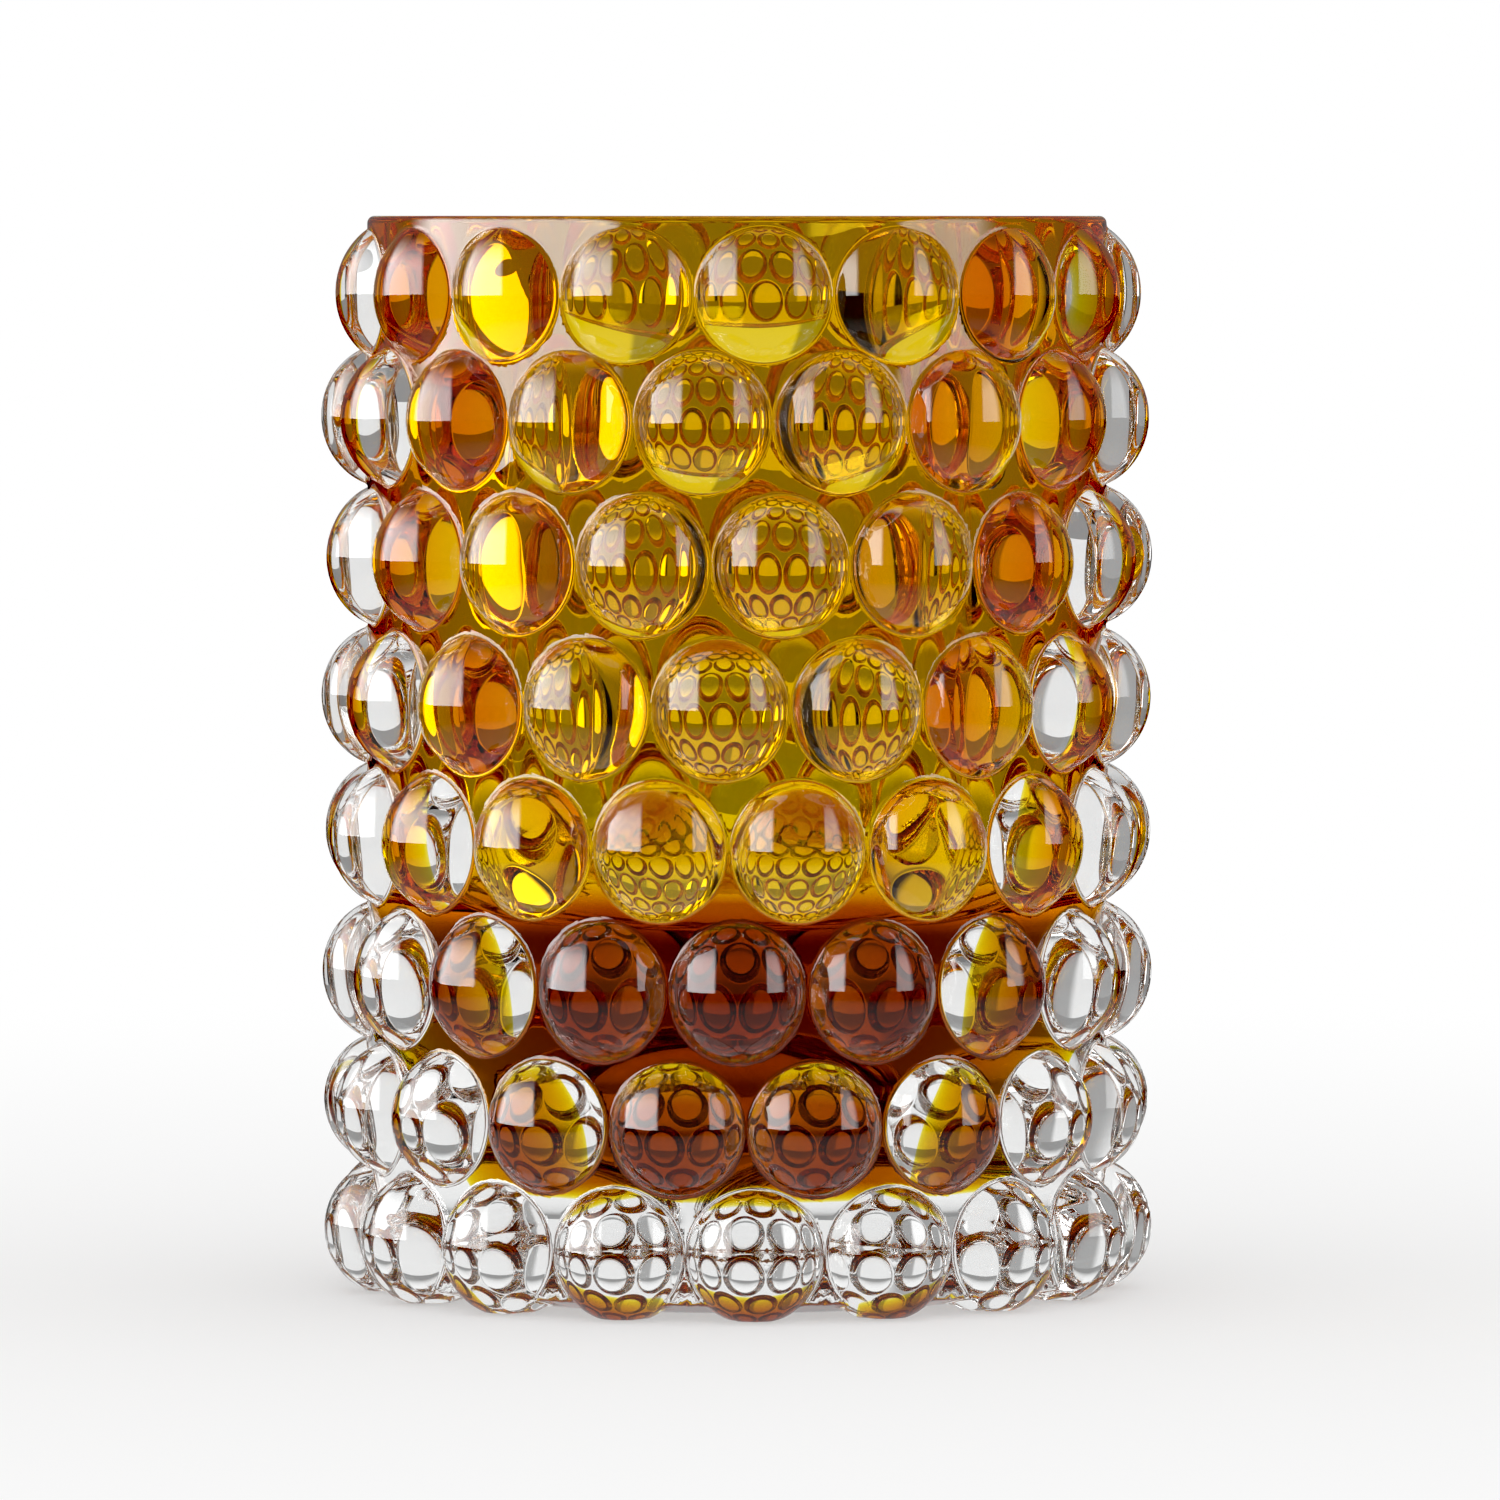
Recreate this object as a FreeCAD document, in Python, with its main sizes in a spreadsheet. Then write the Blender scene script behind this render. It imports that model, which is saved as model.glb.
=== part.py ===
import FreeCAD, Part
import Sketcher
import os

# A straight round vase of cased glass, in millimetres, +Z up, origin at the centre of its foot.
# A thick clear casing carries eight staggered rings of round beads on its outside.
# An amber lining fills the casing: a thick cup wall above, and a very deep solid floor below.

doc = FreeCAD.newDocument("beaded_vase")

# Driving sizes
sizes = {
    # The whole vase
    "vase_height": 180.0,
    "wall_radius": 62.0,
    "rim_round": 1.2,
    # Clear casing: its wall beside the lining, its solid foot, and the bevelled heel under the wall
    "casing_wall": 10.0,
    "foot_thickness": 17.4,
    "heel_width": 14.0,
    "heel_rise": 2.6,
    # Amber lining: its wall, its deep floor, the inner corner, and the outside that draws in below
    "lining_wall": 12.5,
    "lining_floor": 44.6,
    "cavity_corner": 18.0,
    "lining_taper_height": 112.6,
    "lining_taper_width": 22.0,
    # Beads: how many in a ring, the gap between neighbours, how far they stand out of the wall,
    # how far one ring reaches into the next, and how much shorter those of the end rings are
    "beads_per_row": 17,
    "bead_gap": 0.8,
    "bead_rise": 7.8,
    "top_bead_rise": 5.8,
    "row_nesting": 0.7,
    "end_row_trim": 1.2,
    # Rings: the top one below the rim, the bottom one above the table, and their turn in degrees
    "top_row_drop": 12.8,
    "bottom_row_height": 10.6,
    "first_bead_angle": 4.0,
    "row_twist": 1.33,
    # How far a cut runs past what it cuts
    "overrun": 5.0,
}

# Where each ring stands between the top and the bottom one: those in the middle lie further apart
row_drop_shares = (0.0, 0.132, 0.281, 0.431, 0.578, 0.725, 0.868, 1.0)

sheet = doc.addObject("Spreadsheet::Sheet", "sizes")
for line, (name, value) in enumerate(sizes.items(), start=1):
    sheet.set(f"A{line}", name)
    sheet.set(f"B{line}", str(value))
    sheet.setAlias(f"B{line}", name)
doc.recompute()


def cell(name):
    return f"sizes.{name}"


def measure(expression):
    return float(sheet.evalExpression(expression))


# Sizes that follow from the driving ones
rim = cell("vase_height")
wall = cell("wall_radius")
lining_radius = f"({wall} - {cell('casing_wall')})"
cavity_radius = f"({lining_radius} - {cell('lining_wall')})"
lining_bottom = cell("foot_thickness")
cavity_floor = f"({lining_bottom} + {cell('lining_floor')})"
taper_top = f"({lining_bottom} + {cell('lining_taper_height')})"
taper_bottom_radius = f"({lining_radius} - {cell('lining_taper_width')})"
row_span = f"({rim} - {cell('top_row_drop')} - {cell('bottom_row_height')})"
row_pitch = f"({row_span} / {len(row_drop_shares) - 1})"
half_turn = f"(180 / {cell('beads_per_row')})"
bead_width = f"(2 * {wall} * sin({half_turn} * 1 deg) - {cell('bead_gap')})"
bead_height = f"({row_pitch} + {cell('row_nesting')})"
end_bead_height = f"({bead_height} - {cell('end_row_trim')})"
# A bead is the cap of a ball: its two sides meet the wall here, and the wall has curved away this much
bead_side = f"({bead_width} / 2)"
bead_side_drop = f"({wall} - sqrt({wall} ^ 2 - {bead_side} ^ 2))"


def origin_feature(body, role):
    return next(item for item in body.Origin.OriginFeatures if item.Role == role)


def wall_arc(wall_point, far_point):
    # The arc that leaves a vertical wall at wall_point, tangent to it, and ends at far_point
    across = far_point[0] - wall_point[0]
    up = far_point[1] - wall_point[1]
    radius = (across ** 2 + up ** 2) / (2 * abs(across))
    centre_x = wall_point[0] + radius * (1 if across > 0 else -1)
    return FreeCAD.Vector(centre_x, wall_point[1], 0), radius


def add_edge(sketch, start, end, bend):
    if bend == "line":
        return sketch.addGeometry(Part.LineSegment(FreeCAD.Vector(*start, 0), FreeCAD.Vector(*end, 0)))
    wall_point, far_point = (start, end) if bend == "arc off wall" else (end, start)
    centre, radius = wall_arc(wall_point, far_point)
    arms = [FreeCAD.Vector(*point, 0) - centre for point in (start, end)]
    middle = centre + (arms[0] + arms[1]).normalize() * radius
    arc = Part.Arc(FreeCAD.Vector(*start, 0), middle, FreeCAD.Vector(*end, 0))
    return sketch.addGeometry(arc)


def edge_ends(sketch, edge, start):
    # An arc runs counter-clockwise in a sketch, so its first end may be the outline's second point
    first = sketch.getPoint(edge, 1)
    return (1, 2) if first.isEqual(FreeCAD.Vector(*start, 0), FreeCAD.Base.Precision.confusion()) else (2, 1)


def revolved_body(label, outline):
    # A solid of revolution: outline holds (x expression, z expression, kind of edge to the next point)
    body = doc.addObject("PartDesign::Body", label)
    body.Label = label
    sketch = body.newObject("Sketcher::SketchObject", f"{label}_section")
    sketch.AttachmentSupport = [(origin_feature(body, "XZ_Plane"), "")]
    sketch.MapMode = "FlatFace"
    points = [(measure(x), measure(z)) for x, z, bend in outline]
    edges = []
    for index, (x, z, bend) in enumerate(outline):
        start = points[index]
        end = points[(index + 1) % len(points)]
        edge = add_edge(sketch, start, end, bend)
        edges.append((edge, *edge_ends(sketch, edge, start)))
    for index, (edge, first, last) in enumerate(edges):
        after, after_first, after_last = edges[(index + 1) % len(edges)]
        meets_wall = outline[index][2] == "arc onto wall" or outline[(index + 1) % len(edges)][2] == "arc off wall"
        joint = "Tangent" if meets_wall else "Coincident"
        sketch.addConstraint(Sketcher.Constraint(joint, edge, last, after, after_first))
    for index, (x, z, bend) in enumerate(outline):
        edge, first, last = edges[index]
        for kind, expression, place in (("DistanceX", x, points[index][0]), ("DistanceY", z, points[index][1])):
            if expression == "0":
                # A sketch numbers its own axes -1, the level one, and -2, the upright one
                axis = -2 if kind == "DistanceX" else -1
                sketch.addConstraint(Sketcher.Constraint("PointOnObject", edge, first, axis))
                continue
            constraint = sketch.addConstraint(Sketcher.Constraint(kind, -1, 1, edge, first, place))
            name = f"{kind}_{index + 1}"
            sketch.renameConstraint(constraint, name)
            sketch.setExpression(f"Constraints.{name}", expression)
    doc.recompute()
    turning = body.newObject("PartDesign::Revolution", f"{label}_turned")
    turning.Profile = sketch
    turning.ReferenceAxis = (origin_feature(body, "Z_Axis"), [""])
    turning.Angle = 360
    body.Tip = turning
    return body


def clear_casing():
    # Foot, bevelled heel, straight wall and rounded rim outside, and the lining's outer shape inside
    return revolved_body("clear_casing", [
        ("0", "0", "line"),
        (f"{wall} - {cell('heel_width')}", "0", "line"),
        (wall, cell("heel_rise"), "line"),
        (wall, f"{rim} - {cell('rim_round')}", "arc off wall"),
        (f"{wall} - {cell('rim_round')}", rim, "line"),
        (lining_radius, rim, "line"),
        (lining_radius, taper_top, "arc off wall"),
        (taper_bottom_radius, lining_bottom, "line"),
        ("0", lining_bottom, "line"),
    ])


def amber_lining():
    # A cup whose outside fills the casing, with a rounded inner corner and a rounded lip
    return revolved_body("amber_lining", [
        ("0", lining_bottom, "line"),
        (taper_bottom_radius, lining_bottom, "arc onto wall"),
        (lining_radius, taper_top, "line"),
        (lining_radius, rim, "line"),
        (f"{cavity_radius} + {cell('rim_round')}", rim, "arc onto wall"),
        (cavity_radius, f"{rim} - {cell('rim_round')}", "line"),
        (cavity_radius, f"{cavity_floor} + {cell('cavity_corner')}", "arc off wall"),
        (f"{cavity_radius} - {cell('cavity_corner')}", cavity_floor, "line"),
        ("0", cavity_floor, "line"),
    ])


def bead_row(index, share):
    # One ring: a domed bead seated on the casing, patterned round the axis and turned to its place
    last_row = len(row_drop_shares) - 1
    height = f"{rim} - {cell('top_row_drop')} - {row_span} * {share}"
    tall = end_bead_height if index in (0, last_row - 1, last_row) else bead_height
    rise = cell("top_bead_rise") if index == 0 else cell("bead_rise")
    # How deep the middle of the ball lies in the wall, the ball's radius, and its stretch in height
    sink = f"(({bead_side} ^ 2 + {bead_side_drop} ^ 2 - {rise} ^ 2) / (2 * ({rise} + {bead_side_drop})))"
    ball = f"({rise} + {sink})"
    stretch = f"({ball} / sqrt({ball} ^ 2 - {sink} ^ 2))"
    label = f"bead_row_{index + 1}"
    body = doc.addObject("PartDesign::Body", label)
    body.Label = label
    body.AllowCompound = True
    dome = body.newObject("PartDesign::AdditiveEllipsoid", f"{label}_dome")
    dome.Placement = FreeCAD.Placement(FreeCAD.Vector(), FreeCAD.Rotation(FreeCAD.Vector(1, 0, 0), 90))
    dome.setExpression("Radius1", ball)
    dome.setExpression("Radius2", ball)
    dome.setExpression("Radius3", f"{tall} / 2 * {stretch}")
    dome.setExpression("Placement.Base.y", f"{sink} - {wall}")
    dome.setExpression("Placement.Base.z", height)
    doc.recompute()
    seat = body.newObject("PartDesign::SubtractiveCylinder", f"{label}_seat")
    seat.setExpression("Radius", wall)
    seat.setExpression("Height", f"{tall} + 2 * {cell('overrun')}")
    seat.setExpression("Placement.Base.z", f"{height} - {tall} / 2 - {cell('overrun')}")
    body.Tip = seat
    doc.recompute()
    if index == last_row:
        ground = body.newObject("PartDesign::SubtractiveCylinder", f"{label}_ground")
        ground.setExpression("Radius", f"{wall} + {cell('bead_rise')} + {cell('overrun')}")
        ground.setExpression("Height", cell("overrun"))
        ground.setExpression("Placement.Base.z", f"-{cell('overrun')}")
        body.Tip = ground
        doc.recompute()
    ring = body.newObject("PartDesign::PolarPattern", f"{label}_ring")
    ring.TransformMode = "Whole shape"
    ring.Refine = False
    ring.Axis = (origin_feature(body, "Z_Axis"), [""])
    ring.Angle = 360
    ring.setExpression("Occurrences", cell("beads_per_row"))
    body.Tip = ring
    turn = f"{cell('first_bead_angle')} + {index} * ({half_turn} + {cell('row_twist')})"
    body.setExpression("Placement.Rotation.Angle", turn)
    doc.recompute()
    return body


pieces = [clear_casing(), amber_lining()]
for index, share in enumerate(row_drop_shares):
    pieces.append(bead_row(index, share))
doc.recompute()

for item in doc.Objects:
    if any(word in item.State for word in ("Invalid", "Error")):
        raise RuntimeError(f"{item.Name} failed: {item.State}")
for piece in pieces:
    if piece.Shape.isNull() or not piece.Shape.isValid():
        raise RuntimeError(f"{piece.Label} has no valid shape")
    expected = sizes["beads_per_row"] if piece.Label.startswith("bead_row") else 1
    if len(piece.Shape.Solids) != expected:
        raise RuntimeError(f"{piece.Label} has {len(piece.Shape.Solids)} solids, not {expected}")

os.makedirs("parts", exist_ok=True)
for piece in pieces:
    piece.Shape.exportStep(f"parts/{piece.Label}.step")
    print(piece.Label, len(piece.Shape.Solids), "solids", round(piece.Shape.Volume / 1000, 1), "cm3")
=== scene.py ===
import bpy
import math
import numpy as np
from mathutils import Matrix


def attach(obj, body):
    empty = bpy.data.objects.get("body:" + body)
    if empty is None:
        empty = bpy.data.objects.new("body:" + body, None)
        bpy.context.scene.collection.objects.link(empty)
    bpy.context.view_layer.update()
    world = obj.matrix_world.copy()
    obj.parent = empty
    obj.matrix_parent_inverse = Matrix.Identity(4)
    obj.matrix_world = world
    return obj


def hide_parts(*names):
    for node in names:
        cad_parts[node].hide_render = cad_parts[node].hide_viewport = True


# Beaded vase of cased glass: a clear casing with eight rings of beads, and an amber lining.
# The real glass is one fused body, so the pieces share their outer surface and meet without a step.

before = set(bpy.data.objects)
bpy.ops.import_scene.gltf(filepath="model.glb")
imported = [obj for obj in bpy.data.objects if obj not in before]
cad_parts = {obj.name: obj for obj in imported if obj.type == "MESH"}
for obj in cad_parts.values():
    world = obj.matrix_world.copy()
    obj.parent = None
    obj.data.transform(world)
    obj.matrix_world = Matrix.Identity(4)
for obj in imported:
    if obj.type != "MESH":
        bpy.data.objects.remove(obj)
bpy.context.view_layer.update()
scene = bpy.context.scene
bpy.ops.object.select_all(action="DESELECT")

vase = {
    "height": 0.180,
    "wallRadius": 0.062,
    "rimRound": 0.0012,
    "rimSteps": 6,
    "heelWidth": 0.014,
    "heelRise": 0.0026,
    "heelRound": 0.0008,
    "footRadius": 0.050,  # where the beads' web ends and the plain foot begins
}

beads = {
    "count": 17,
    "width": 0.02198,
    "tall": 0.02307,
    "endTall": 0.02187,
    "rise": 0.0078,
    "topRise": 0.0058,
    "topCentre": 0.1672,
    "bottomCentre": 0.0106,
    "places": (0.0, 0.132, 0.281, 0.431, 0.578, 0.725, 0.868, 1.0),
    "firstTurn": 4.0,
    "extraTurn": 1.33,
    "fillet": 0.0005,  # how softly a bead flows into the wall
    "topFillet": 0.0005,
    "filletChange": 0.006,
    "domeRings": (0.06, 0.13, 0.2, 0.27, 0.34, 0.41, 0.48, 0.55, 0.62, 0.69, 0.755, 0.815, 0.87, 0.915, 0.955),
    "webRings": (0.1, 0.25, 0.45, 0.7, 1.0),
    "sideSteps": 12,  # points along each edge of a bead's share of the wall
    "slantSteps": 9,
    "plainSteps": 18,
    "settleRounds": 16,
    "settleReach": 0.0015,
}

pitchAngle = 2 * math.pi / beads["count"]
pitch = vase["wallRadius"] * pitchAngle
stepAngle = pitchAngle / 2 + math.radians(beads["extraTurn"])
step = vase["wallRadius"] * stepAngle


def beadRows():
    rows = []
    last = len(beads["places"]) - 1
    for index, place in enumerate(beads["places"]):
        ends = index in (0, last - 1, last)
        rows.append({
            "number": index + 1,
            "z": beads["topCentre"] + (beads["bottomCentre"] - beads["topCentre"]) * place,
            "half": (beads["endTall"] if ends else beads["tall"]) / 2,
            "rise": beads["topRise"] if index == 0 else beads["rise"],
            "turn": math.radians(beads["firstTurn"]) + index * stepAngle,
        })
    return rows


rows = beadRows()


def turned(points, angle):
    c, s = math.cos(angle), math.sin(angle)
    x, y, z = points[..., 0], points[..., 1], points[..., 2]
    return np.stack([x * c - y * s, x * s + y * c, z], axis=-1)


def beadDistance(points, row, angle):
    # About how far points lie from the bead of that row which is turned that far from the front
    side = beads["width"] / 2
    drop = vase["wallRadius"] - math.sqrt(vase["wallRadius"] ** 2 - side ** 2)
    sink = (side ** 2 + drop ** 2 - row["rise"] ** 2) / (row["rise"] + drop) / 2
    ball = row["rise"] + sink
    local = turned(points, -angle) + np.array([0, vase["wallRadius"] - sink, -row["z"]])
    radii = np.array([ball, ball, row["half"] * ball / math.sqrt(ball ** 2 - sink ** 2)])
    near = np.linalg.norm(local / radii, axis=-1)
    steep = np.linalg.norm(local / radii ** 2, axis=-1)
    return near * (near - 1) / np.maximum(steep, 1e-9)


def blendWidth(z):
    # The top ring may meet the wall more sharply or softly than the others
    top = rows[0]["z"] - rows[0]["half"]
    share = np.clip((z - top) / beads["filletChange"] + 0.5, 0, 1)
    share = share * share * (3 - 2 * share)
    return beads["fillet"] + (beads["topFillet"] - beads["fillet"]) * share


def glassDistance(points, index):
    # Wall, heel and the beads near one cell, flowing into each other
    radius = np.hypot(points[..., 0], points[..., 1])
    wall = radius - vase["wallRadius"]
    slope = math.hypot(vase["heelWidth"], vase["heelRise"])
    heel = (wall * vase["heelRise"] - (points[..., 2] - vase["heelRise"]) * vase["heelWidth"]) / slope
    soft = np.maximum(vase["heelRound"] - abs(wall - heel), 0)
    body = np.maximum(wall, heel) + soft ** 2 / vase["heelRound"] / 4
    near = [(rows[index], angle) for angle in (0, pitchAngle, -pitchAngle)]
    if index > 0:
        near += [(rows[index - 1], angle) for angle in (-stepAngle, pitchAngle - stepAngle)]
    if index < len(rows) - 1:
        near += [(rows[index + 1], angle) for angle in (stepAngle, stepAngle - pitchAngle)]
    parts = np.sort(np.stack([body] + [beadDistance(points, row, angle) for row, angle in near]), axis=0)
    width = blendWidth(points[..., 2])
    joined = parts[0]
    for part in parts[1:]:
        overlap = np.maximum(width - abs(part - joined), 0)
        joined = np.minimum(part, joined) - overlap ** 2 / width / 4
    return joined


def glassSlope(points, index):
    reach = 1e-6
    slopes = []
    for axis in np.eye(3):
        ahead = glassDistance(points + axis * reach, index)
        behind = glassDistance(points - axis * reach, index)
        slopes.append((ahead - behind) / reach / 2)
    return np.stack(slopes, axis=-1)


def settled(points, index):
    # Points moved along the slope until they lie on the glass surface
    reach = beads["settleReach"]
    for attempt in range(beads["settleRounds"]):
        value = glassDistance(points, index)
        slope = glassSlope(points, index)
        move = np.clip(value / np.sum(slope ** 2, axis=-1), -reach, reach)
        points = points - slope * move[..., None]
    return points


def onWall(s, v):
    # A place on the bare wall, or past its lower edge on the heel, from unrolled coordinates
    below = np.maximum(vase["heelRise"] - v, 0)
    slope = math.hypot(vase["heelWidth"], vase["heelRise"])
    radius = vase["wallRadius"] - below * vase["heelWidth"] / slope
    z = np.maximum(v, vase["heelRise"]) - below * vase["heelRise"] / slope
    angle = s / vase["wallRadius"]
    return np.stack([radius * np.sin(angle), -radius * np.cos(angle), z], axis=-1)


def cellOutline(index):
    # The edge of a bead's share of the wall, unrolled, counter-clockwise from its lower right corner
    row = rows[index]
    side, slant, plain = beads["sideSteps"], beads["slantSteps"], beads["plainSteps"]
    corners = []
    if index < len(rows) - 1:
        drop = row["z"] - rows[index + 1]["z"]
        sideEnd = (pitch * step - step ** 2 - drop ** 2) / drop / 2
        tip = (step ** 2 - pitch * step - drop ** 2) / drop / 2
        lower = [((-pitch / 2, sideEnd), slant), ((step - pitch / 2, tip), slant)]
        lowerRight = sideEnd
    else:
        slope = math.hypot(vase["heelWidth"], vase["heelRise"])
        along = (vase["wallRadius"] - vase["footRadius"]) / vase["heelWidth"] * slope
        lowerRight = vase["heelRise"] - along - row["z"]
        lower = [((-pitch / 2, lowerRight), plain)]
    corners.append(((pitch / 2, lowerRight), side))
    if index > 0:
        drop = rows[index - 1]["z"] - row["z"]
        sideEnd = (step ** 2 - pitch * step - drop ** 2) / drop / 2 + drop
        tip = (pitch * step - step ** 2 - drop ** 2) / drop / 2 + drop
        corners += [((pitch / 2, sideEnd), slant), ((pitch / 2 - step, tip), slant), ((-pitch / 2, sideEnd), side)]
    else:
        top = vase["height"] - vase["rimRound"] - row["z"]
        corners += [((pitch / 2, top), plain), ((-pitch / 2, top), side)]
    corners += lower
    places = []
    for number, (start, count) in enumerate(corners):
        end = corners[(number + 1) % len(corners)][0]
        for part in range(count):
            share = part / count
            places.append([start[0] + (end[0] - start[0]) * share, start[1] + (end[1] - start[1]) * share])
    return np.array(places)


def beadCell(index):
    # One bead and its web as rings of points from the middle outwards, with their normals
    row = rows[index]
    outline = cellOutline(index)
    wide, rise, half = beads["width"] / 2, row["rise"], row["half"]
    around = np.arctan2(outline[:, 1] / half, outline[:, 0] / wide)
    spread = (wide * np.cos(around)) ** 2
    radius = vase["wallRadius"]
    edge = np.arccos(-spread / (radius * rise + np.sqrt((radius * rise) ** 2 - (rise ** 2 - spread) * spread)))
    rings = [np.array([[0, -radius - rise, row["z"]]])]
    for share in beads["domeRings"] + (1.0,):
        lean = edge * share
        rings.append(np.stack([
            wide * np.sin(lean) * np.cos(around),
            -radius - rise * np.cos(lean),
            row["z"] + half * np.sin(lean) * np.sin(around)], axis=-1))
    foot = rings[-1]
    footPlace = np.stack([radius * np.arctan2(foot[:, 0], -foot[:, 1]), foot[:, 2] - row["z"]], axis=-1)
    for share in beads["webRings"]:
        place = footPlace + (outline - footPlace) * share
        rings.append(onWall(place[:, 0], place[:, 1] + row["z"]))
    fixed = rings[-1].copy()
    rings = [settled(ring, index) for ring in rings]
    plainEdge = (outline[:, 1] + row["z"] > vase["height"] - vase["rimRound"] * 1.001)
    plainEdge |= outline[:, 1] + row["z"] < -vase["rimRound"]
    rings[-1][plainEdge] = fixed[plainEdge]
    normals = []
    for number, ring in enumerate(rings):
        slope = glassSlope(ring, index)
        normals.append(slope / np.linalg.norm(slope, axis=-1)[:, None])
        below = ring[:, 2] < 0
        normals[number][below] = [0, 0, -1]
        ring[:, 2] = np.maximum(ring[:, 2], 0)
    return rings, normals


def cellCentre(index):
    return np.array([[0, -vase["wallRadius"], rows[index]["z"]]])


def ringFaces(inner, outer, count):
    return [(inner + j, outer + j, outer + (j + 1) % count, inner + (j + 1) % count) for j in range(count)]


def fanFaces(centre, ring, count, outward=True):
    faces = [(centre, ring + j, ring + (j + 1) % count) for j in range(count)]
    return faces if outward else [face[::-1] for face in faces]


def placeCells(points, normals, faces, turn):
    # The same cell all round the vase
    total = len(points)
    allPoints, allNormals, allFaces = [], [], []
    for number in range(beads["count"]):
        angle = turn + number * pitchAngle
        allPoints.append(turned(points, angle))
        allNormals.append(turned(normals, angle))
        allFaces += [tuple(corner + number * total for corner in face) for face in faces]
    return np.concatenate(allPoints), np.concatenate(allNormals), allFaces


def welded(points, normals, faces):
    # Points within the same thousandth of a millimetre become one
    keys = np.round(points * 1e6 + 0.25).astype(np.int64)
    unique, first, where = np.unique(keys, axis=0, return_index=True, return_inverse=True)
    where = where.reshape(-1)
    joined = [tuple(dict.fromkeys(int(where[corner]) for corner in face)) for face in faces]
    return points[first], normals[first], joined


def makePiece(name, points, normals, faces, slots, materials):
    mesh = bpy.data.meshes.new(name)
    mesh.from_pydata([tuple(point) for point in points], [], faces)
    for material in materials:
        mesh.materials.append(material)
    mesh.polygons.foreach_set("material_index", slots)
    mesh.polygons.foreach_set("use_smooth", [True] * len(faces))
    mesh.normals_split_custom_set_from_vertices([tuple(normal) for normal in normals])
    mesh.update()
    piece = bpy.data.objects.new(name, mesh)
    scene.collection.objects.link(piece)
    return piece


def lathed(profile, profileNormals, angles):
    # Rings of a turned shape, from (radius, height) points
    points, normals = [], []
    for (radius, z), (out, up) in zip(profile, profileNormals):
        points.append(np.stack([radius * np.sin(angles), -radius * np.cos(angles), np.full(len(angles), z)], axis=-1))
        normals.append(np.stack([out * np.sin(angles), -out * np.cos(angles), np.full(len(angles), up)], axis=-1))
    return points, normals


def arcPoints(centre, radius, start, end, count):
    turns = [math.radians(start + (end - start) * part / count) for part in range(count + 1)]
    return [(centre[0] + radius * math.cos(turn), centre[1] + radius * math.sin(turn)) for turn in turns]


lining = {
    "radius": 0.052,
    "bottom": 0.0174,
    "taperTop": 0.130,
    "bottomRadius": 0.030,
    "cavityRadius": 0.0395,
    "cavityFloor": 0.062,
    "cavityCorner": 0.018,
    "bondGap": 0.00001,  # keeps the casing's bond face just clear of the lining's
    "bondRing": 0.155,
    "seamClear": 0.001,  # no ring lies nearer to the seam of wall and floor than this
    "cavityRings": (0.11, 0.14),
    "taperSteps": 12,
    "cornerSteps": 10,
}


def liningCurve():
    # The radius of the arc by which the lining draws in, and the height that it takes
    across = lining["radius"] - lining["bottomRadius"]
    drop = lining["taperTop"] - lining["bottom"]
    return (across ** 2 + drop ** 2) / across / 2, drop


def bondRadius(z):
    # How wide the lining is at a height
    radius = liningCurve()[0]
    below = max(lining["taperTop"] - z, 0)
    return lining["radius"] - radius + math.sqrt(radius ** 2 - below ** 2)


def bondProfile(gap):
    # The face between casing and lining, from the rim down to the axis
    radius, drop = liningCurve()
    sweep = math.degrees(math.asin(drop / radius))
    profile = [(lining["radius"] + gap, vase["height"]), (lining["radius"] + gap, lining["bondRing"])]
    centre = (lining["radius"] - radius, lining["taperTop"])
    profile += arcPoints(centre, radius + gap, 0, -sweep, lining["taperSteps"])
    profile[-1] = (lining["bottomRadius"] + gap, lining["bottom"] - gap)
    return profile


class Wire:
    # One socket of a node tree, which can be reckoned with
    def __init__(self, tree, socket):
        self.tree = tree
        self.socket = socket

    def of(self, name):
        return Wire(self.tree, self.socket.node.outputs[name])

    def math(self, operation, *others):
        values = {number: value for number, value in enumerate((self,) + others)}
        return self.tree.add("ShaderNodeMath", {"operation": operation}, values)

    def __add__(self, other):
        return self.math("ADD", other)

    def __radd__(self, other):
        return self.math("ADD", other)

    def __sub__(self, other):
        return self.math("SUBTRACT", other)

    def __rsub__(self, other):
        return self.tree.add("ShaderNodeMath", {"operation": "SUBTRACT"}, {0: other, 1: self})

    def __mul__(self, other):
        return self.math("MULTIPLY", other)

    def __rmul__(self, other):
        return self.math("MULTIPLY", other)

    def __truediv__(self, other):
        return self.math("DIVIDE", other)

    def __rtruediv__(self, other):
        return self.tree.add("ShaderNodeMath", {"operation": "DIVIDE"}, {0: other, 1: self})

    def ramp(self, low, high):
        # 0 below low, 1 above high
        values = {"Value": self, "From Min": low, "From Max": high}
        return self.tree.add("ShaderNodeMapRange", {"interpolation_type": "SMOOTHSTEP"}, values)

    def window(self, low, high, soft):
        # 1 between low and high, with soft edges
        return self.ramp(low - soft, low + soft) * (1 - self.ramp(high - soft, high + soft))


class Tree:
    def __init__(self, owner):
        owner.use_nodes = True
        self.nodes = owner.node_tree.nodes
        self.links = owner.node_tree.links
        self.nodes.clear()

    def add(self, kind, settings=None, values=None, output=0):
        node = self.nodes.new(kind)
        for name, setting in (settings or {}).items():
            setattr(node, name, setting)
        for name, value in (values or {}).items():
            if isinstance(value, Wire):
                self.links.new(value.socket, node.inputs[name])
            else:
                node.inputs[name].default_value = value
        return Wire(self, node.outputs[output]) if len(node.outputs) else node


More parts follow.
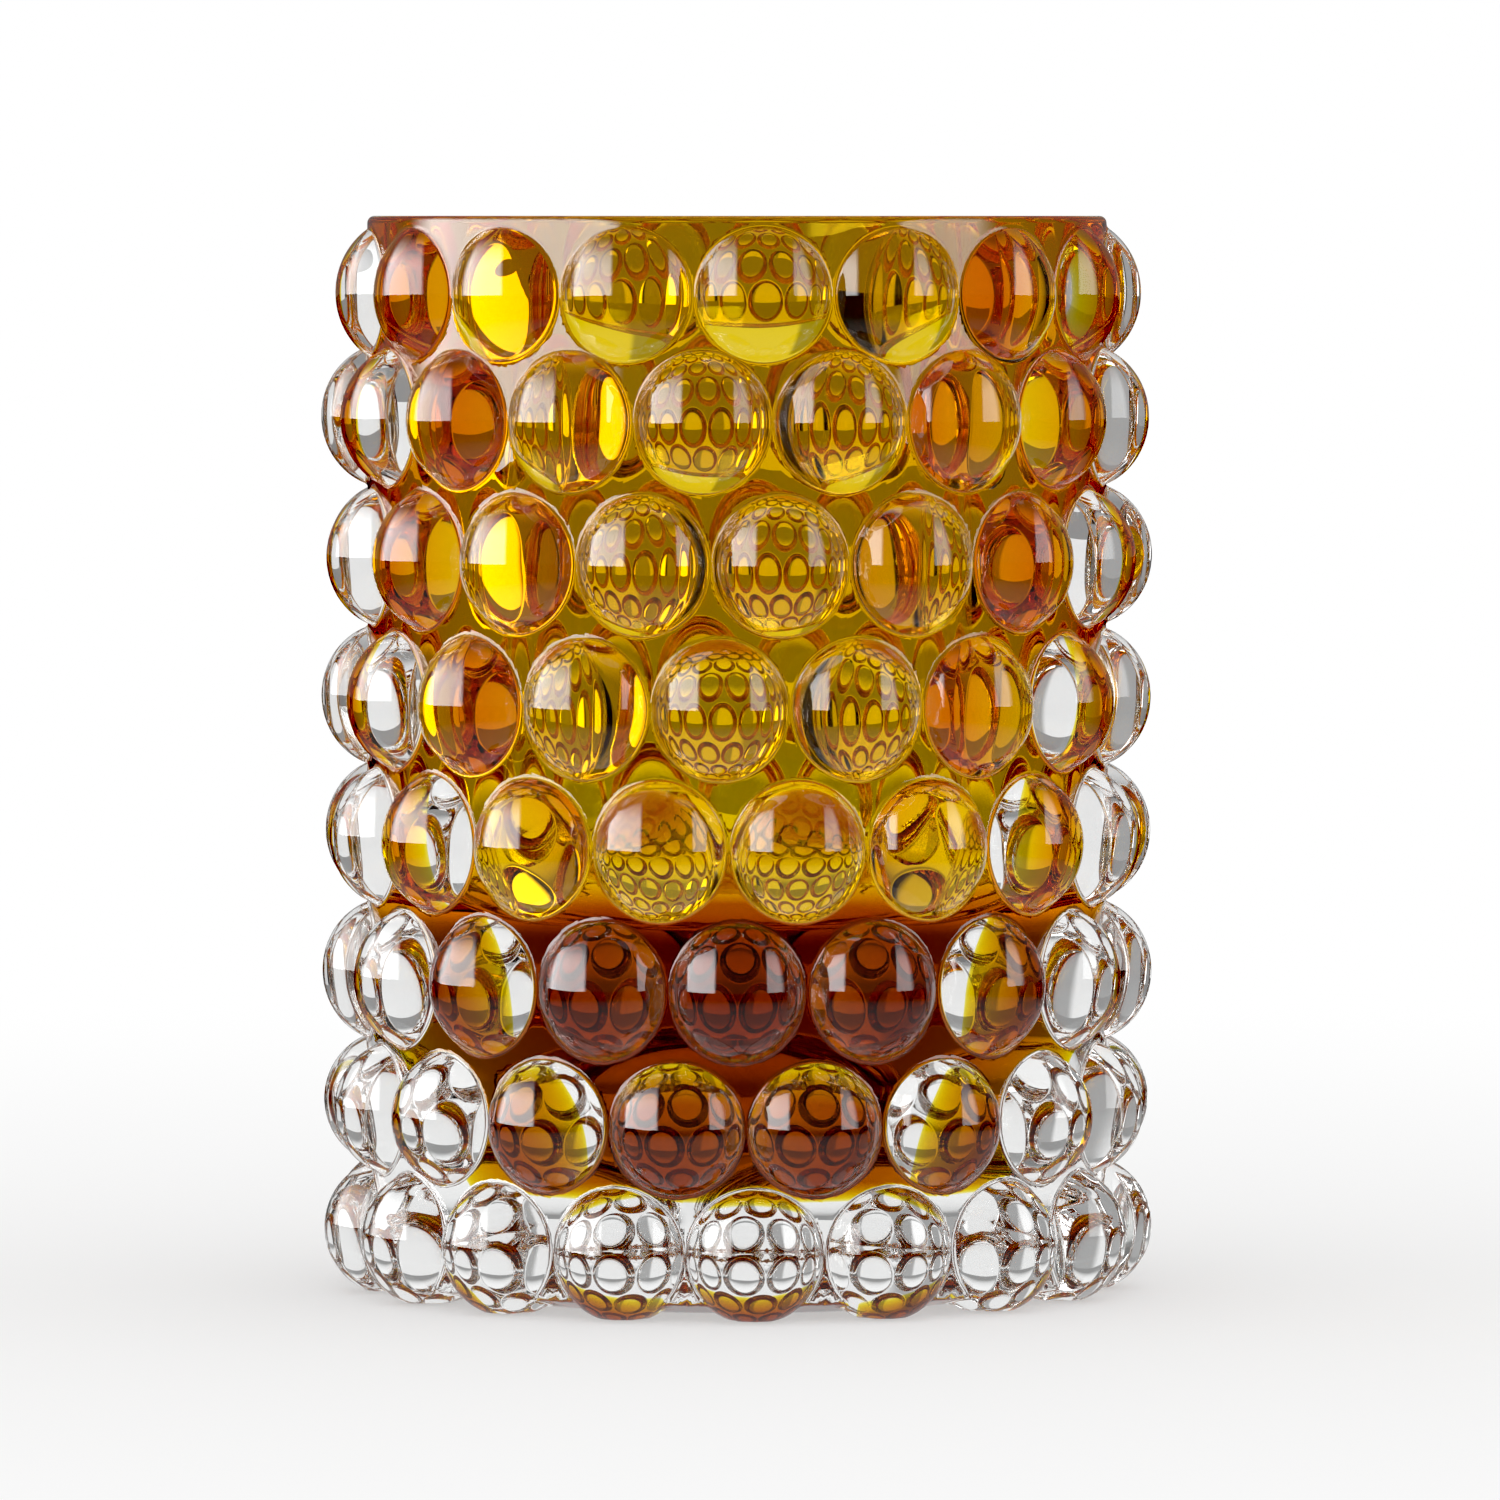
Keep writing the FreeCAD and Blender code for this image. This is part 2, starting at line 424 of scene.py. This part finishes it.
clearGlassLook = {
    "tint": (0.985, 0.99, 0.988, 1),
    "tintDeep": (0.965, 0.975, 0.97, 1),
    "index": 1.5,
    "haze": 0.004,
    "cloudScale": 30.0,
    "rippleScale": 120.0,
    "ripple": 0.03,
    "rippleDepth": 0.001,
}


def makeClearGlass():
    material = bpy.data.materials.new("clearGlass")
    tree = Tree(material)
    place = tree.add("ShaderNodeTexCoord", output="Object")
    cloud = tree.add("ShaderNodeTexNoise", {}, {
        "Vector": place, "Scale": clearGlassLook["cloudScale"], "Detail": 2.0})
    tint = tree.add("ShaderNodeMix", {"data_type": "RGBA"}, {
        "Factor": cloud, 6: clearGlassLook["tint"], 7: clearGlassLook["tintDeep"]}, output=2)
    wave = tree.add("ShaderNodeTexNoise", {}, {
        "Vector": place, "Scale": clearGlassLook["rippleScale"], "Detail": 1.0})
    bump = tree.add("ShaderNodeBump", {}, {
        "Height": wave, "Strength": clearGlassLook["ripple"], "Distance": clearGlassLook["rippleDepth"]})
    glass = tree.add("ShaderNodeBsdfPrincipled", {}, {
        "Base Color": tint, "Roughness": cloud * clearGlassLook["haze"], "IOR": clearGlassLook["index"],
        "Transmission Weight": 1.0, "Normal": bump})
    tree.add("ShaderNodeOutputMaterial", {}, {"Surface": glass})
    return material


amberGlassLook = {
    "tint": (1, 1, 1, 1),
    "index": 1.5,
    "haze": 0.004,
    "rippleScale": 60.0,
    "ripple": 0.05,
    "rippleDepth": 0.001,
    "wallDensity": 350.0,
    "wallColour": (0.984, 0.917, 0.0, 1),
    "floorDensity": 420.0,  # the thick floor struck darker as it cooled
    "floorColour": (0.956, 0.89, 0.0, 1),
}


def makeAmberGlass(part):
    material = bpy.data.materials.new(f"amber{part.capitalize()}")
    tree = Tree(material)
    place = tree.add("ShaderNodeTexCoord", output="Object")
    wave = tree.add("ShaderNodeTexNoise", {}, {
        "Vector": place, "Scale": amberGlassLook["rippleScale"], "Detail": 1.0})
    bump = tree.add("ShaderNodeBump", {}, {
        "Height": wave, "Strength": amberGlassLook["ripple"], "Distance": amberGlassLook["rippleDepth"]})
    skin = tree.add("ShaderNodeAttribute", {"attribute_name": "openFace"}, {}, output="Fac")
    glass = tree.add("ShaderNodeBsdfPrincipled", {}, {
        "Base Color": amberGlassLook["tint"], "Roughness": wave * amberGlassLook["haze"],
        "IOR": amberGlassLook["index"], "Transmission Weight": 1.0, "Alpha": skin, "Normal": bump})
    depth = tree.add("ShaderNodeVolumeAbsorption", {}, {
        "Color": amberGlassLook[f"{part}Colour"], "Density": amberGlassLook[f"{part}Density"]})
    tree.add("ShaderNodeOutputMaterial", {}, {"Surface": glass, "Volume": depth})
    return material


def makeBond():
    # Where two pieces are fused there is no surface to see
    material = bpy.data.materials.new("fusedBond")
    tree = Tree(material)
    clear = tree.add("ShaderNodeBsdfTransparent", {}, {"Color": (1, 1, 1, 1)})
    tree.add("ShaderNodeOutputMaterial", {}, {"Surface": clear})
    return material


clearGlass = makeClearGlass()
amberWall = makeAmberGlass("wall")
amberFloor = makeAmberGlass("floor")
fusedBond = makeBond()
print("glass mixed")

cells = [beadCell(index) for index in range(len(rows))]
domeCount = len(beads["domeRings"]) + 1


def makeBeadRow(index):
    # One bead's dome, closed behind where it is fused to the wall, then its copies round the vase
    rings, normals = cells[index]
    count = len(rings[1])
    points = np.concatenate(rings[:domeCount + 1] + [cellCentre(index)])
    directions = np.concatenate(normals[:domeCount + 1] + [np.array([[0, 1.0, 0]])])
    faces = fanFaces(0, 1, count)
    for ring in range(domeCount - 1):
        faces += ringFaces(1 + ring * count, 1 + (ring + 1) * count, count)
    slots = [0] * len(faces)
    back = fanFaces(len(points) - 1, 1 + (domeCount - 1) * count, count, outward=False)
    faces += back
    slots += [1] * len(back)
    points, directions, faces = placeCells(points, directions, faces, rows[index]["turn"])
    slots = slots * beads["count"]
    name = f"beadRow{rows[index]['number']}"
    piece = makePiece(name, points, directions, faces, slots, [clearGlass, fusedBond])
    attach(piece, "root")
    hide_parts(f"bead_row_{rows[index]['number']}")
    return piece


for index in range(len(rows)):
    makeBeadRow(index)
print("bead rings made")


def rimAngles(turn):
    # The places of the web's plain edge round the vase
    share = np.arange(beads["count"] * beads["plainSteps"]) / beads["plainSteps"]
    return turn - pitchAngle / 2 + share * pitchAngle


def makeCasing():
    # The web between the beads, with the face under each bead
    parts = []
    for index in range(len(rows)):
        rings, normals = cells[index]
        count = len(rings[1])
        points = np.concatenate(rings[domeCount:] + [cellCentre(index)])
        directions = np.concatenate(normals[domeCount:] + [np.array([[0, -1.0, 0]])])
        faces = []
        for ring in range(len(beads["webRings"])):
            faces += ringFaces(ring * count, (ring + 1) * count, count)
        slots = [0] * len(faces)
        back = fanFaces(len(points) - 1, 0, count)
        faces += back
        slots += [1] * len(back)
        parts.append((*placeCells(points, directions, faces, rows[index]["turn"]), slots * beads["count"]))

    # The rim, and the face against the lining
    lip = vase["rimRound"]
    rim = arcPoints((vase["wallRadius"] - lip, vase["height"] - lip), lip, 0, 90, vase["rimSteps"])
    rimNormals = [((x - vase["wallRadius"] + lip) / lip, (z - vase["height"] + lip) / lip) for x, z in rim]
    bond = bondProfile(lining["bondGap"])
    profile = rim + bond
    profileNormals = rimNormals + [(0, 1)] + [(-1, 0)] * (len(bond) - 1)
    angles = rimAngles(rows[0]["turn"])
    count = len(angles)
    points, directions = lathed(profile, profileNormals, angles)
    points = np.concatenate(points + [np.array([[0, 0, lining["bottom"] - lining["bondGap"]]])])
    directions = np.concatenate(directions + [np.array([[0, 0, 1.0]])])
    faces = []
    for ring in range(len(profile) - 1):
        faces += ringFaces((ring + 1) * count, ring * count, count)
    slots = [0] * (len(rim) * count) + [1] * (len(faces) - len(rim) * count)
    last = (len(profile) - 1) * count
    fan = fanFaces(len(points) - 1, last, count)
    faces += fan
    slots += [1] * len(fan)
    parts.append((points, directions, faces, slots))

    # The plain foot
    angles = rimAngles(rows[-1]["turn"])
    heelZ = vase["heelRise"] * (1 - (vase["wallRadius"] - vase["footRadius"]) / vase["heelWidth"])
    profile = [(vase["footRadius"], heelZ), (vase["wallRadius"] - vase["heelWidth"], 0)]
    slope = math.hypot(vase["heelWidth"], vase["heelRise"])
    profileNormals = [(vase["heelRise"] / slope, -vase["heelWidth"] / slope), (0, -1)]
    points, directions = lathed(profile, profileNormals, angles)
    points = np.concatenate(points + [np.array([[0, 0, 0.0]])])
    directions = np.concatenate(directions + [np.array([[0, 0, -1.0]])])
    faces = ringFaces(0, count, count)
    faces += fanFaces(len(points) - 1, count, count, outward=False)
    parts.append((points, directions, faces, [0] * len(faces)))

    allPoints = np.concatenate([part[0] for part in parts])
    allNormals = np.concatenate([part[1] for part in parts])
    allFaces, allSlots, start = [], [], 0
    for points, directions, faces, slots in parts:
        allFaces += [tuple(corner + start for corner in face) for face in faces]
        allSlots += slots
        start += len(points)
    points, directions, faces = welded(allPoints, allNormals, allFaces)
    piece = makePiece("clearCasing", points, directions, faces, allSlots, [clearGlass, fusedBond])
    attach(piece, "root")
    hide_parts("clear_casing")
    return piece


makeCasing()
print("casing made")


def spunShell(name, profile):
    # A closed shell spun from a profile of (radius, height) points that starts and ends on itself or the axis
    mesh = bpy.data.meshes.new(name)
    start = rimAngles(rows[0]["turn"])[0]
    mesh.from_pydata([(radius * math.sin(start), -radius * math.cos(start), z) for radius, z in profile],
                     [(number, number + 1) for number in range(len(profile) - 1)], [])
    shell = bpy.data.objects.new(name, mesh)
    scene.collection.objects.link(shell)
    bpy.context.view_layer.objects.active = shell
    shell.select_set(True)
    bpy.ops.object.mode_set(mode="EDIT")
    bpy.ops.mesh.select_all(action="SELECT")
    bpy.ops.mesh.spin(steps=beads["count"] * beads["plainSteps"], angle=2 * math.pi,
                      center=(0, 0, 0), axis=(0, 0, 1))
    bpy.ops.mesh.select_all(action="SELECT")
    bpy.ops.mesh.remove_doubles(threshold=0.000002)
    bpy.ops.mesh.normals_make_consistent(inside=False)
    bpy.ops.object.mode_set(mode="OBJECT")
    shell.select_set(False)
    return shell


def makeLining():
    # Two shells: the wall with the cavity's corner, and the deep floor
    corner = lining["cavityCorner"]
    lip = vase["rimRound"]
    gap = lining["bondGap"]
    level = lining["cavityFloor"]
    flat = lining["cavityRadius"] - corner
    seam = level - gap * 2
    bond = bondProfile(0)
    upper = [point for point in bond if point[1] > level + lining["seamClear"]]
    lower = [point for point in bond if point[1] < level - lining["seamClear"]]
    wall = arcPoints((flat, level + corner), corner, -90, 0, lining["cornerSteps"])
    wall += [(lining["cavityRadius"], z) for z in lining["cavityRings"]]
    wall += arcPoints((lining["cavityRadius"] + lip, vase["height"] - lip), lip, 180, 90, vase["rimSteps"])
    wall += upper + [(bondRadius(level), level), (flat, level)]
    floor = [(0, level), (flat / 2, level), (flat - gap, level), (flat, seam)]
    floor += [(bondRadius(seam), seam)] + lower + [(0, lining["bottom"])]
    shells = [spunShell("amberLining", wall), spunShell("amberLiningFloor", floor)]
    for shell, glass in zip(shells, (amberWall, amberFloor)):
        shell.data.materials.append(glass)
        skin = shell.data.attributes.new("openFace", "FLOAT", "FACE")  # 1 where the amber glass meets the air
        values = []
        for face in shell.data.polygons:
            radius = math.hypot(face.center.x, face.center.y)
            cup = radius < lining["cavityRadius"] + gap * 20 and face.center.z > level + gap * 2
            disc = radius < flat and abs(face.center.z - level) < gap / 2
            lipFace = face.center.z > vase["height"] - lip and radius < lining["radius"] - gap * 5
            values.append(1.0 if cup or disc or lipFace else 0.0)
        skin.data.foreach_set("value", values)
    shells[0].select_set(True)
    shells[1].select_set(True)
    bpy.context.view_layer.objects.active = shells[0]
    bpy.ops.object.join()
    piece = shells[0]
    bpy.ops.object.shade_smooth_by_angle(angle=math.radians(40))
    piece.select_set(False)
    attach(piece, "root")
    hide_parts("amber_lining")
    return piece


makeLining()
print("lining made")

floorLook = {
    "width": 12.0,
    "drop": 0.0002,
    "paper": (0.92, 0.92, 0.92, 1),
    "nearGlow": 0.45,  # the share of the floor by the vase that only glows; the rest takes the shadow
    "farGlow": 0.55,
    "glowFrom": (0.12, 0.7),
    "nearDim": 0.05,  # how much darker the glass sees the floor, close by and far off
    "farDim": 0.65,
    "dimFrom": (0.1, 0.4),
    "mirrorDim": 0.45,
}


def makeFloor():
    bpy.ops.mesh.primitive_plane_add(size=floorLook["width"], location=(0, 0, 0))
    floor = bpy.context.object
    floor.name = "floor"
    for corner in floor.data.vertices:
        corner.co.z = -floorLook["drop"]
    material = bpy.data.materials.new("paleFloor")
    tree = Tree(material)
    path = tree.add("ShaderNodeLightPath")
    place = tree.add("ShaderNodeTexCoord", output="Object")
    away = tree.add("ShaderNodeVectorMath", {"operation": "LENGTH"}, {0: place}, output="Value")
    paper = tree.add("ShaderNodeBsdfDiffuse", {}, {"Color": floorLook["paper"]})
    passed = path.of("Is Transmission Ray")
    seen = path.of("Is Glossy Ray").math("MAXIMUM", passed)
    dim = floorLook["nearDim"] + floorLook["farDim"] * away.ramp(*floorLook["dimFrom"])
    strength = 1 - seen * dim - floorLook["mirrorDim"] * (seen - passed)
    glow = tree.add("ShaderNodeEmission", {}, {"Color": strength, "Strength": 1.0})
    share = floorLook["nearGlow"] + floorLook["farGlow"] * away.ramp(*floorLook["glowFrom"])
    share = share.math("MAXIMUM", seen)
    both = tree.add("ShaderNodeMixShader", {}, {0: share, 1: paper, 2: glow})
    tree.add("ShaderNodeOutputMaterial", {}, {"Surface": both})
    floor.data.materials.append(material)
    floor.select_set(False)


studio = {
    # Lit panels seen through the glass, from and to so many degrees right of straight behind, and how bright
    "panels": ((-14, 44, 0.86), (-44, -14, 0.4), (-122, -80, 0.2), (-77, -48, 2.6), (58, 78, 0.7), (92, 104, 1.0)),
    "panelEdge": 2,
    "ceiling": (50.0, 58.0),
    "ceilingLight": 0.15,
    "roomLight": 0.95,
    "mirroredRoom": 0.02,
    "mirroredBackdrop": 0.12,
    "backdropEdge": (40, 56),
    "softboxPower": 9.5,
    "softboxTop": (0.3, 0.72),
    "leftSoftboxEdges": ((-0.88, -0.8), (-0.36, -0.3)),
    "rightSoftboxEdges": ((0.42, 0.45), (0.62, 0.7)),
    "rightSoftboxShare": 0.5,
}


def makeWorld():
    world = bpy.data.worlds.new("studioLight")
    scene.world = world
    tree = Tree(world)
    path = tree.add("ShaderNodeLightPath")
    direction = tree.add("ShaderNodeTexCoord", output="Generated")
    axes = tree.add("ShaderNodeSeparateXYZ", {}, {0: direction}, output="X")
    x, y, z = axes, axes.of("Y"), axes.of("Z")
    azimuth = x.math("ARCTAN2", y) * (180 / math.pi)
    height = z.math("ARCSINE") * (180 / math.pi)
    low = 1 - height.ramp(*studio["ceiling"])
    through = studio["ceilingLight"] * (1 - low)
    for start, end, bright in studio["panels"]:
        through = through + bright * (low * azimuth.window(start, end, studio["panelEdge"]))
    # The softboxes follow the beads' faces: how far the face that mirrors them to the front is turned aside
    spread = (2 - 2 * y).math("SQRT")
    aside = x / spread
    above = z / spread
    curved = aside / (1 - above * above).math("SQRT")
    upward = 1 - above.ramp(*studio["softboxTop"])
    outer, inner = studio["leftSoftboxEdges"]
    left = curved.ramp(*outer) * (1 - aside.ramp(*inner))
    inner, outer = studio["rightSoftboxEdges"]
    right = aside.ramp(*inner) * (1 - curved.ramp(*outer))
    behind = 1 - azimuth.math("ABSOLUTE").ramp(*studio["backdropEdge"])
    mirrored = studio["mirroredRoom"] + studio["mirroredBackdrop"] * behind
    mirrored = mirrored + studio["softboxPower"] * (upward * (left + studio["rightSoftboxShare"] * right))
    plain = path.of("Is Camera Ray")
    passed = path.of("Is Transmission Ray")
    thrown = path.of("Is Glossy Ray") * (1 - passed)  # a ray that passes smooth glass counts as glossy too
    rest = 1 - thrown.math("MAXIMUM", passed).math("MAXIMUM", plain)
    strength = plain + rest * studio["roomLight"] + thrown * mirrored + passed * through
    light = tree.add("ShaderNodeBackground", {}, {"Color": (1, 1, 1, 1), "Strength": strength})
    tree.add("ShaderNodeOutputWorld", {}, {"Surface": light})


cameraPlace = {
    "distance": 1.848,
    "tilt": 2.78,
    "turn": -0.068,
    "lens": 264,
    "sensor": 36,
    "farthest": 100,
}


def makeCamera():
    bpy.ops.object.camera_add(location=(0, -cameraPlace["distance"], vase["height"]),
                              rotation=(math.radians(90 - cameraPlace["tilt"]), 0, math.radians(cameraPlace["turn"])))
    camera = bpy.context.object
    camera.data.lens = cameraPlace["lens"]
    camera.data.sensor_width = cameraPlace["sensor"]
    camera.data.clip_end = cameraPlace["farthest"]
    scene.camera = camera


makeFloor()
makeWorld()
makeCamera()
scene.view_settings.view_transform = "Standard"
scene.cycles.max_bounces = 32
scene.cycles.transmission_bounces = 32
scene.cycles.glossy_bounces = 16
scene.cycles.transparent_max_bounces = 96
print("studio made")
